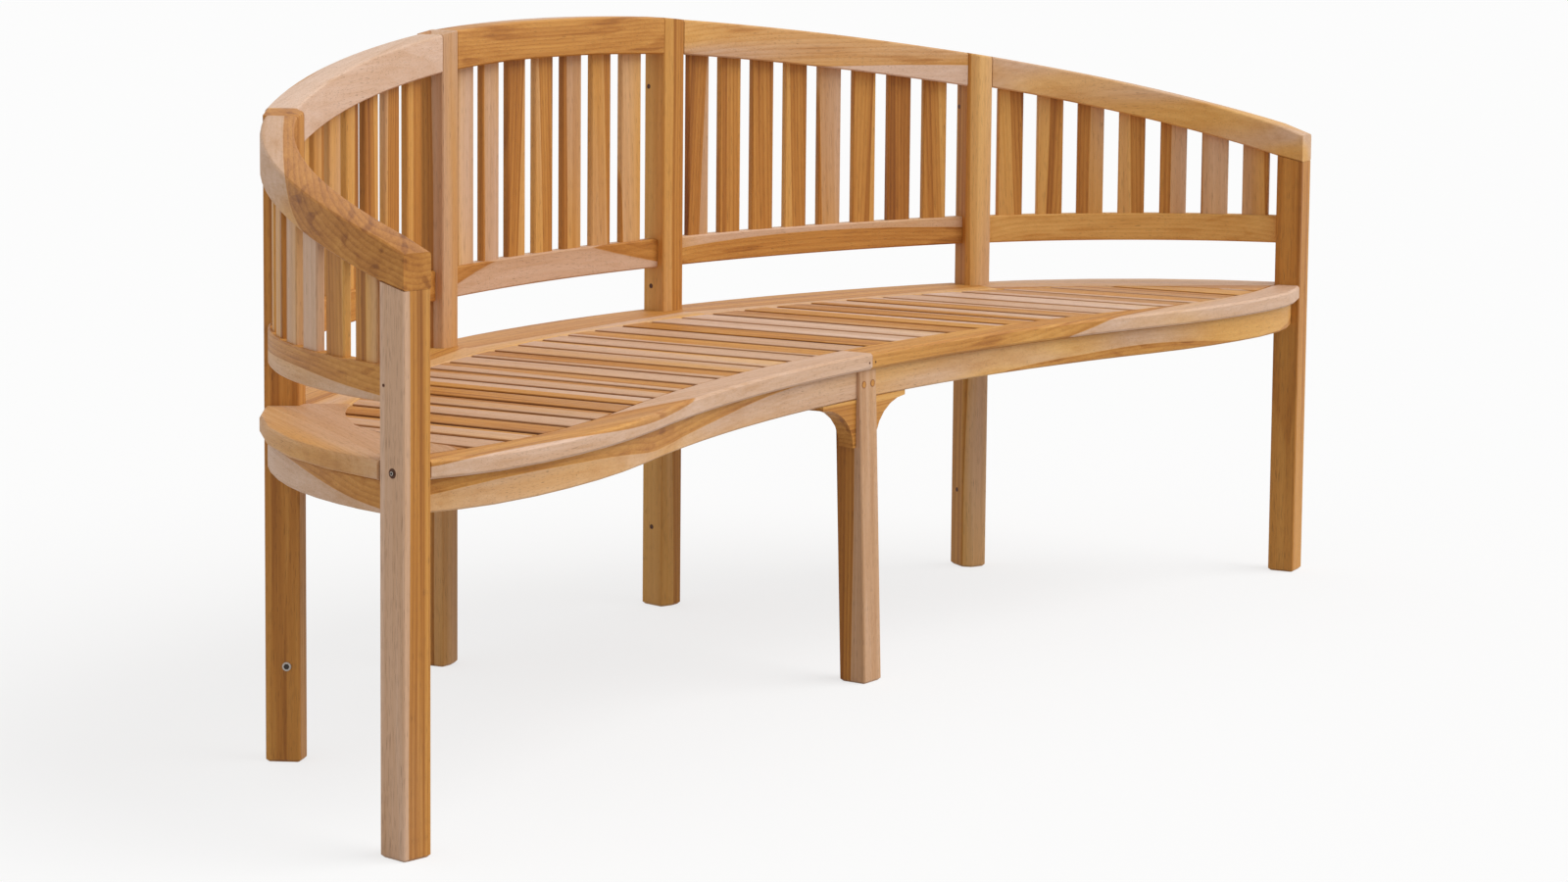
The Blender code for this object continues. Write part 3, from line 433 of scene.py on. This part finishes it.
def floor():
    """A pale floor that the camera sees as nearly white, with the bench's soft shadow."""
    mesh = bmesh.new()
    bmesh.ops.create_grid(mesh, x_segments=1, y_segments=1, size=FLOOR_REACH)
    data = bpy.data.meshes.new("floor")
    mesh.to_mesh(data)
    mesh.free()
    ground = bpy.data.objects.new("floor", data)
    bpy.context.scene.collection.objects.link(ground)
    paint = bpy.data.materials.new("pale_floor")
    paint.use_nodes = True
    coat = Nodes(paint.node_tree)
    shader = coat.tree.nodes["Principled BSDF"]
    shader.inputs["Base Color"].default_value = FLOOR_GREY
    shader.inputs["Roughness"].default_value = 0.9
    shader.inputs["Specular IOR Level"].default_value = 0.0
    matt = Value(coat, shader.outputs["BSDF"])
    white = coat.node("ShaderNodeBsdfDiffuse", None, FLOOR_WHITE, 0.0)
    glow = coat.node("ShaderNodeEmission", None, (1.0, 1.0, 1.0, 1.0), 1.0)
    pale = coat.node("ShaderNodeMixShader", None, FLOOR_GLOW, white, glow)
    seen = coat.either(
        coat.node("ShaderNodeLightPath", output="Is Camera Ray"),
        coat.node("ShaderNodeLightPath", output="Is Glossy Ray"),
    )
    both = coat.node("ShaderNodeMixShader", None, seen, matt, pale)
    coat.feed(coat.tree.nodes["Material Output"].inputs["Surface"], both)
    data.materials.append(paint)


# The lens in millimetres, and the way it looks in degrees, with a trace of roll in radians
SENSOR = 36.0
LENS = 90.394
SHIFT = -0.12
HEADING = 34.407
DIP = 6.309
ROLL = 0.00935
EYE = (-4.1964, -2.9499, 1.1111)


def camera():
    """The photograph's view, from far to the front left and a little above."""
    lens = bpy.data.cameras.new("camera")
    view = bpy.data.objects.new("camera", lens)
    bpy.context.scene.collection.objects.link(view)
    lens.sensor_width = SENSOR
    lens.lens = LENS
    lens.shift_y = SHIFT
    lens.clip_end = 200.0
    heading = math.radians(HEADING)
    dip = math.radians(DIP)
    right = Vector((math.sin(heading), -math.cos(heading), 0.0))
    level = Vector((math.cos(heading), math.sin(heading), 0.0))
    forward = level * math.cos(dip) - Vector((0.0, 0.0, math.sin(dip)))
    up = right.cross(forward)
    tilted_right = right * math.cos(ROLL) + up * math.sin(ROLL)
    tilted_up = up * math.cos(ROLL) - right * math.sin(ROLL)
    place = Matrix((tilted_right, tilted_up, -forward)).transposed().to_4x4()
    place.translation = Vector(EYE)
    view.matrix_world = place
    bpy.context.scene.camera = view


# Corners closer than this are one corner, and an edge that turns by more than this stays crisp
WELD = 0.00002
CRISP = math.radians(24)


def smooth_shading():
    """Curved faces shade smoothly and arrises stay crisp, without a change to the solids."""
    group = bpy.data.node_groups.new("smooth_by_angle", "GeometryNodeTree")
    group.interface.new_socket("Geometry", in_out="INPUT", socket_type="NodeSocketGeometry")
    group.interface.new_socket("Geometry", in_out="OUTPUT", socket_type="NodeSocketGeometry")
    maker = Nodes(group)
    solid = maker.node("NodeGroupInput")
    weld = maker.node("GeometryNodeMergeByDistance", output=None)
    maker.feed(weld.inputs["Geometry"], solid)
    maker.feed(weld.inputs["Distance"], WELD)
    welded = Value(maker, weld.outputs["Geometry"])
    angle = maker.node("GeometryNodeInputMeshEdgeAngle")
    sharp = maker.node("FunctionNodeCompare", {"operation": "GREATER_THAN"}, angle, CRISP)
    faces = maker.node("GeometryNodeSetShadeSmooth", None, welded)
    edges = maker.node("GeometryNodeSetShadeSmooth", {"domain": "EDGE"}, faces, sharp, False)
    maker.node("NodeGroupOutput", None, edges, output=None)
    for node in nodes.values():
        modifier = node.modifiers.new("smooth", "NODES")
        modifier.node_group = group


bpy.context.scene.view_settings.view_transform = "Standard"
camera()
floor()
studio_light()
smooth_shading()

# How far the right half's posts are turned, in degrees, and how far apart the seat slats lie
POST_TURNS = {"front_post": 8.4, "side_post": -30.0, "back_post": -9.4}
SLAT_PITCH = 0.0605
BEARER_LOOK = (0.42, 0.4, 90, 10, 0)

# The look of each upright
POSTS = {
    "left_front_post": (0.27, 0.85, 180, 17.5, 0),
    "right_front_post": (0.25, 0.5, 180, 40, 0),
    "left_side_post": (0.32, 0.1, 20, 24, 0),
    "right_side_post": (0.23, 0.4, -30, -4, 0),
    "left_back_post": (0.33, 0.7, -60, -6, 0),
    "right_back_post": (0.33, 0.2, 200, 10, 0),
    "centre_front_leg": (0.34, 0.65, -70, 2, 0),
}
# The look of each level board, and the bow that its grain follows
BOARDS = {
    "back_top_rail": ((0.24, 0.75, 70, 30, 0), None),
    "left_quarter_top_rail": ((0.15, 1.15, 170, -12, 0), "quarter"),
    "right_quarter_top_rail": ((0.12, 1.1, -60, 14, 0), "quarter"),
    "left_arm_rail": ((0.33, 0.65, -25, 26, -15), "arm"),
    "right_arm_rail": ((0.24, 0.5, 150, -40, 0), "arm"),
    "back_seat_board": ((0.22, 0.5, 180, 15, 0), None),
    "left_quarter_seat_board": ((0.22, 0.4, 180, 10, 0), "quarter"),
    "right_quarter_seat_board": ((0.22, 0.5, 180, 15, 0), "quarter"),
    "left_front_seat_rail": ((0.22, 0.95, -60, -18, 0), None),
    "right_front_seat_rail": ((0.21, 0.8, -120, 15, 0), None),
    "left_front_apron": ((0.26, 0.55, -80, 4, 0), None),
    "right_front_apron": ((0.25, 0.4, 80, -6, 1), None),
    "back_apron": ((0.30, 0.4, 0, 4, 0), None),
    "left_quarter_apron": ((0.30, 0.4, 90, 4, 0), "quarter"),
    "right_quarter_apron": ((0.30, 0.4, 90, 4, 0), "quarter"),
    "left_side_apron": ((0.26, 0.7, -60, 2, -4), "arm"),
    "right_side_apron": ((0.26, 0.5, 60, 6, 0), "arm"),
    "left_leg_bracket": ((0.30, 0.3, 90, 20, 0), None),
    "right_leg_bracket": ((0.30, 0.3, 90, 20, 0), None),
}
for seed, (name, look) in enumerate(POSTS.items()):
    hand = -1 if name.startswith("left") else 1
    turn = math.radians(POST_TURNS.get(name.split("_", 1)[1], 0.0)) * hand
    wear(name, board(name, turn, seed + 1, look, upright=True))
for seed, (name, (look, run)) in enumerate(BOARDS.items()):
    hand = -1 if name.startswith("left") else 1
    turn = {"quarter": QUARTER.angle, "arm": ARM.angle}.get(run, 0.0) * hand
    wear(name, board(name, turn, seed + 11, look))
for seed, name in enumerate(("left_bearer", "centre_bearer", "right_bearer")):
    wear(name, board(name, math.pi / 2, seed + 35, BEARER_LOOK))

# The looks of the slats, outward from the middle of the bench, and in the back left to right
BACK_SLATS = (
    (0.23, 0.45, 1, -20, 0),
    (0.30, 0.65, 1, -15, 0),
    (0.36, 0.45, 1, 8, -3),
    (0.32, 0.35, -1, 8, 2),
    (0.36, 0.45, 1, -12, 0),
    (0.34, 0.45, -1, -8, 2),
    (0.25, 0.45, 1, -20, 2),
)
LEFT_QUARTER_SLATS = (
    (0.35, 0.30, 1, 5, 0),
    (0.34, 0.30, 1, 14, 1),
    (0.35, 0.30, -1, 8, -1),
    (0.33, 0.30, 1, 0, 1),
    (0.29, 0.40, 1, -15, 0),
    (0.37, 0.30, 1, -10, 0),
    (0.27, 0.40, 1, -20, 0),
    (0.41, 0.30, 1, 30, 0),
)
RIGHT_QUARTER_SLATS = (
    (0.32, 0.55, 1, 10, -3),
    (0.28, 0.25, 1, 30, 0),
    (0.31, 0.25, 1, 30, 1),
    (0.34, 0.25, -1, 12, 2),
    (0.34, 0.55, 1, -15, 1),
    (0.28, 0.25, 1, 14, -2),
    (0.33, 0.25, 1, 30, 1),
    (0.28, 0.25, 1, 6, 3),
)
LEFT_ARM_SLATS = (
    (0.31, 0.25, 1, 10, 0),
    (0.33, 0.35, 1, -10, 0),
    (0.31, 0.55, -1, -6, 0),
    (0.31, 0.65, 1, -15, 0),
    (0.30, 0.65, 1, -20, 0),
    (0.29, 0.15, 1, 12, 2),
    (0.31, 0.35, 1, 0, 0),
)
RIGHT_ARM_SLATS = (
    (0.29, 0.20, -1, 0, 4),
    (0.26, 0.40, -1, 2, -2),
    (0.29, 0.40, 1, 1, 0),
    (0.26, 0.30, -1, 2, 1),
    (0.24, 0.50, 1, 0, 0),
    (0.27, 0.40, 1, -20, 1),
    (0.30, 0.40, -1, -10, 3),
)
# For each lower rail: its bow, its length in slat spacings, a seed, its look and its slats'
LOWER = {
    "back_lower_rail": (BACK, 7.58, 41, (0.25, 0.9, -25, -13.5, 0), BACK_SLATS),
    "left_quarter_lower_rail": (QUARTER, 8.5, 47, (0.3, 0.4, 0, 30, 0), LEFT_QUARTER_SLATS),
    "right_quarter_lower_rail": (QUARTER, 8.5, 43, (0.22, 0.6, 100, 12, 0), RIGHT_QUARTER_SLATS),
    "left_arm_lower_rail": (ARM, 7.22, 44, (0.26, 0.6, -70, 6, 3), LEFT_ARM_SLATS),
    "right_arm_lower_rail": (ARM, 7.22, 45, (0.04, 0.1, 90, 60, 0), RIGHT_ARM_SLATS),
}
for name, (bow, spacings, seed, rail, strips) in LOWER.items():
    hand = -1 if name.startswith("left") else 1
    wear(name, slatted(name, bow, hand, spacings, seed, rail, strips))


def seat_slat(wood):
    """The coordinates and look of a seat slat: a strip of its own for each, from front to back."""
    index = (wood.x / SLAT_PITCH).math("FLOOR")
    within = wood.x - (index + 0.5) * SLAT_PITCH
    luck = wood.chance(index * 0.731 + 3.3)
    second = wood.chance(index * 0.417 + 5.2)
    third = wood.chance(index * 0.913 + 9.1)
    # Painted shade: the sides, from the eased arris down, are darker than the top, for the shade
    # that falls in the gaps between the slats
    under = SEAT_HEIGHT + SEAT_FALL * FRONT_LINE_Y - wood.z - wood.y * SEAT_FALL
    painted_gap_shade = wood.smooth(under, 0.0007, 0.0016)
    return (
        wood.y,
        within,
        wood.z - SEAT_HEIGHT,
        index * 1.71 + 60.0,
        # Painted light: the tone grows paler towards the right end and darker towards the left, as
        # the light falls
        luck * 0.10 + wood.x * -0.06 + painted_gap_shade * 0.34 + 0.18,
        second * 0.35 + wood.x * 0.06 + 0.68,
        third * math.tau,
        (luck - 0.5) * -0.02 + (second - 0.5) * 0.05 - 0.004,
    )


def seat_slats():
    """One material for all the loose seat slats."""
    wood = Wood("seat_slat_teak")
    return wood.finish(*seat_slat(wood))


slat_wood = seat_slats()
for name in nodes:
    if "_seat_slat_" in name:
        wear(name, slat_wood)


# The middle of the right end board
END_BOARD_X = 0.88
END_BOARD_Y = -0.1


def end_board(side, hand, seed, look):
    """The end seat board along its curve, and the short slats that run into it."""
    tone, rose, sap, depth, turn = look
    wood = Wood(f"{side}_end_seat_board_teak")
    x = wood.x * hand
    dx = x - END.centre.x
    dy = wood.y - END.centre.y
    is_slat = (dx * dx + dy * dy) ** 0.5 < END.radius
    angle = ARM.angle + math.radians(turn)
    x = x - END_BOARD_X
    y = wood.y - END_BOARD_Y
    plank = (
        x * math.cos(angle) + y * math.sin(angle),
        y * math.cos(angle) - x * math.sin(angle),
        wood.z - SEAT_HEIGHT,
        float(seed),
        tone,
        rose,
        math.radians(sap),
        depth / 1000,
    )
    return wood.finish(
        *(wood.pick(is_slat, board, slat) for board, slat in zip(plank, seat_slat(wood)))
    )


wear("left_end_seat_board", end_board("left", -1, 50, (0.34, 0.6, 0, -60, 0)))
wear("right_end_seat_board", end_board("right", 1, 51, (0.25, 0.55, -60, -5, 0)))


def small_wood(name, centre, radius, tone, rim):
    """Teak for a plug or a hole, darker round its rim."""
    wood = Wood(name)
    x = wood.x - centre.x
    y = wood.y - centre.y
    z = wood.z - centre.z
    from_centre = (x * x + y * y + z * z) ** 0.5 / radius
    edge = wood.smooth(from_centre, 0.7, 0.98)
    seed = centre.z * 40
    return wood.finish(y, x, z, seed, edge * rim + tone, rose=0.4, sap=0.0, depth=0.05)


def steel(name, dark, light):
    """Zinc-plated steel, slightly dulled."""
    metal = Wood(name)
    cloud = metal.noise(metal.x * 700.0, metal.y * 700.0, metal.z * 700.0, 2.0)
    grain = metal.noise(metal.x * 2600.0, metal.y * 2600.0, metal.z * 2600.0, 1.0)
    colour = metal.mix(cloud, dark, light)
    return metal.surface(colour, cloud * 0.2 + 0.26, grain, 0.2, 0.0001, Metallic=1.0)


def seat_into(name, mesh, place, normal, materials):
    """A small fitting made on the XY plane is set on a face of the bench."""
    turn = Vector(normal).to_track_quat("Z", "Y").to_matrix().to_4x4()
    bmesh.ops.transform(mesh, matrix=Matrix.Translation(place) @ turn, verts=mesh.verts)
    data = bpy.data.meshes.new(name)
    mesh.to_mesh(data)
    mesh.free()
    for material in materials:
        data.materials.append(material)
    fitting = bpy.data.objects.new(name, data)
    bpy.context.scene.collection.objects.link(fitting)
    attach(fitting, "root")


def mirrored(place, other):
    """A place or a way of the left half, or its mirror image on the other half."""
    x, y, z = place
    return Vector((-x if other else x, y, z))


def peg(radius, proud, buried, ease):
    """A round peg with an eased head, and the head's face."""
    mesh = bmesh.new()
    bmesh.ops.create_cone(
        mesh,
        cap_ends=True,
        segments=24,
        radius1=radius,
        radius2=radius,
        depth=proud + buried,
        matrix=Matrix.Translation((0.0, 0.0, (proud - buried) / 2)),
    )
    head = max(mesh.faces, key=lambda face: face.calc_center_median().z)
    bmesh.ops.bevel(
        mesh,
        geom=list(head.edges),
        offset=ease,
        segments=2,
        profile=0.5,
        affect="EDGES",
        material=-1,
    )
    return mesh, max(mesh.faces, key=lambda face: face.calc_center_median().z)


def hole_mesh(radius):
    """A dark dish that stands for a drilled hole; its dark colour is painted shade of the hole's
    inside.
    """
    mesh, head = peg(radius, proud=0.0003, buried=0.002, ease=0.0001)
    bmesh.ops.inset_region(mesh, faces=[head], thickness=radius * 0.35, depth=-0.0002)
    return mesh


def bolt_mesh(radius):
    """A low round head with a six-sided socket, whose faces take the second material, a near-black
    steel that is painted shade of the socket's inside.
    """
    mesh, head = peg(radius, proud=0.0016, buried=0.003, ease=radius * 0.12)
    bmesh.ops.inset_region(mesh, faces=[head], thickness=radius * 0.22, depth=0.0)
    flat = radius * 0.58
    for corner in head.verts:
        angle = math.atan2(corner.co.y, corner.co.x) % (math.pi / 3) - math.pi / 6
        corner.co.xy = corner.co.xy.normalized() * (flat / math.cos(angle))
    walls = bmesh.ops.inset_region(mesh, faces=[head], thickness=radius * 0.02, depth=-0.0013)
    for face in (head, *walls["faces"]):
        face.material_index = 1
    return mesh


# Radii of the fittings
SCREW_HOLE = 0.0034
PIN_HOLE = 0.0018
JOINT_PIN = 0.0014
BOLT = 0.0055
SMALL_BOLT = 0.0023
PLUG = 0.0048
# The sides of the left half that carry bolts, and the raked front of the centre leg
SIDE_POST_OUTSIDE = (-0.866, -0.5, 0.0)
FRONT_POST_OUTSIDE = (-0.989, 0.146, 0.0)
LEG_FRONT = (0.0, -0.999, 0.033)
# Places on the faces of the left half and the ways that the faces look
HOLES = (
    ("back_post_hole_top", SCREW_HOLE, (-0.2316, 0.3147, 0.7357), (0.987, 0.163, 0.0)),
    ("back_post_hole_middle", SCREW_HOLE, (-0.2304, 0.3079, 0.4553), (0.987, 0.163, 0.0)),
    ("back_post_hole_low", SCREW_HOLE, (-0.2298, 0.3041, 0.1128), (0.987, 0.163, 0.0)),
    ("side_post_hole_top", SCREW_HOLE, (-0.7538, 0.1283, 0.6876), (0.866, 0.5, 0.0)),
    ("side_post_hole_low", SCREW_HOLE, (-0.7486, 0.1193, 0.1147), (0.866, 0.5, 0.0)),
    ("front_post_pin_hole", PIN_HOLE, (-1.0375, -0.2753, 0.5110), FRONT_POST_OUTSIDE),
    ("front_post_bolt_hole", BOLT, (-1.0395, -0.2890, 0.4184), FRONT_POST_OUTSIDE),
    ("seat_joint_pin_hole", JOINT_PIN, (-0.0070, -0.2155, 0.4170), (0.0, -1.0, 0.0)),
)
bolt = (
    steel("bolt_steel", (0.24, 0.21, 0.19, 1.0), (0.52, 0.47, 0.42, 1.0)),
    # Painted shade: the socket's steel is near black, for the shade inside the recess
    steel("bolt_socket_painted_shade", (0.02, 0.016, 0.014, 1.0), (0.07, 0.06, 0.055, 1.0)),
)
for side, other in (("left", False), ("right", True)):
    for name, radius, place, normal in HOLES:
        spot = mirrored(place, other)
        # Painted shade: the holes' teak is near the darkest tone, for the shade inside a drilled
        # hole
        shade = small_wood(f"{side}_{name}_teak", spot, radius, tone=0.92, rim=-0.2)
        hole = hole_mesh(radius)
        seat_into(f"{side}_{name}", hole, spot, mirrored(normal, other), [shade])
    spot = mirrored((-0.7771, 0.0941, 0.1149), other)
    look = mirrored(SIDE_POST_OUTSIDE, other)
    seat_into(f"{side}_side_post_bolt", bolt_mesh(BOLT), spot, look, bolt)
    spot = mirrored((-1.0396, -0.2890, 0.4184), other)
    look = mirrored(FRONT_POST_OUTSIDE, other)
    seat_into(f"{side}_front_post_bolt", bolt_mesh(SMALL_BOLT), spot, look, bolt)
    spot = mirrored((-0.0100, -0.2092, 0.3887), other)
    plug_wood = small_wood(f"{side}_leg_plug_teak", spot, PLUG, tone=0.30, rim=0.35)
    plug = peg(PLUG, proud=0.0003, buried=0.006, ease=0.0002)[0]
    seat_into(f"{side}_leg_plug", plug, spot, LEG_FRONT, [plug_wood])
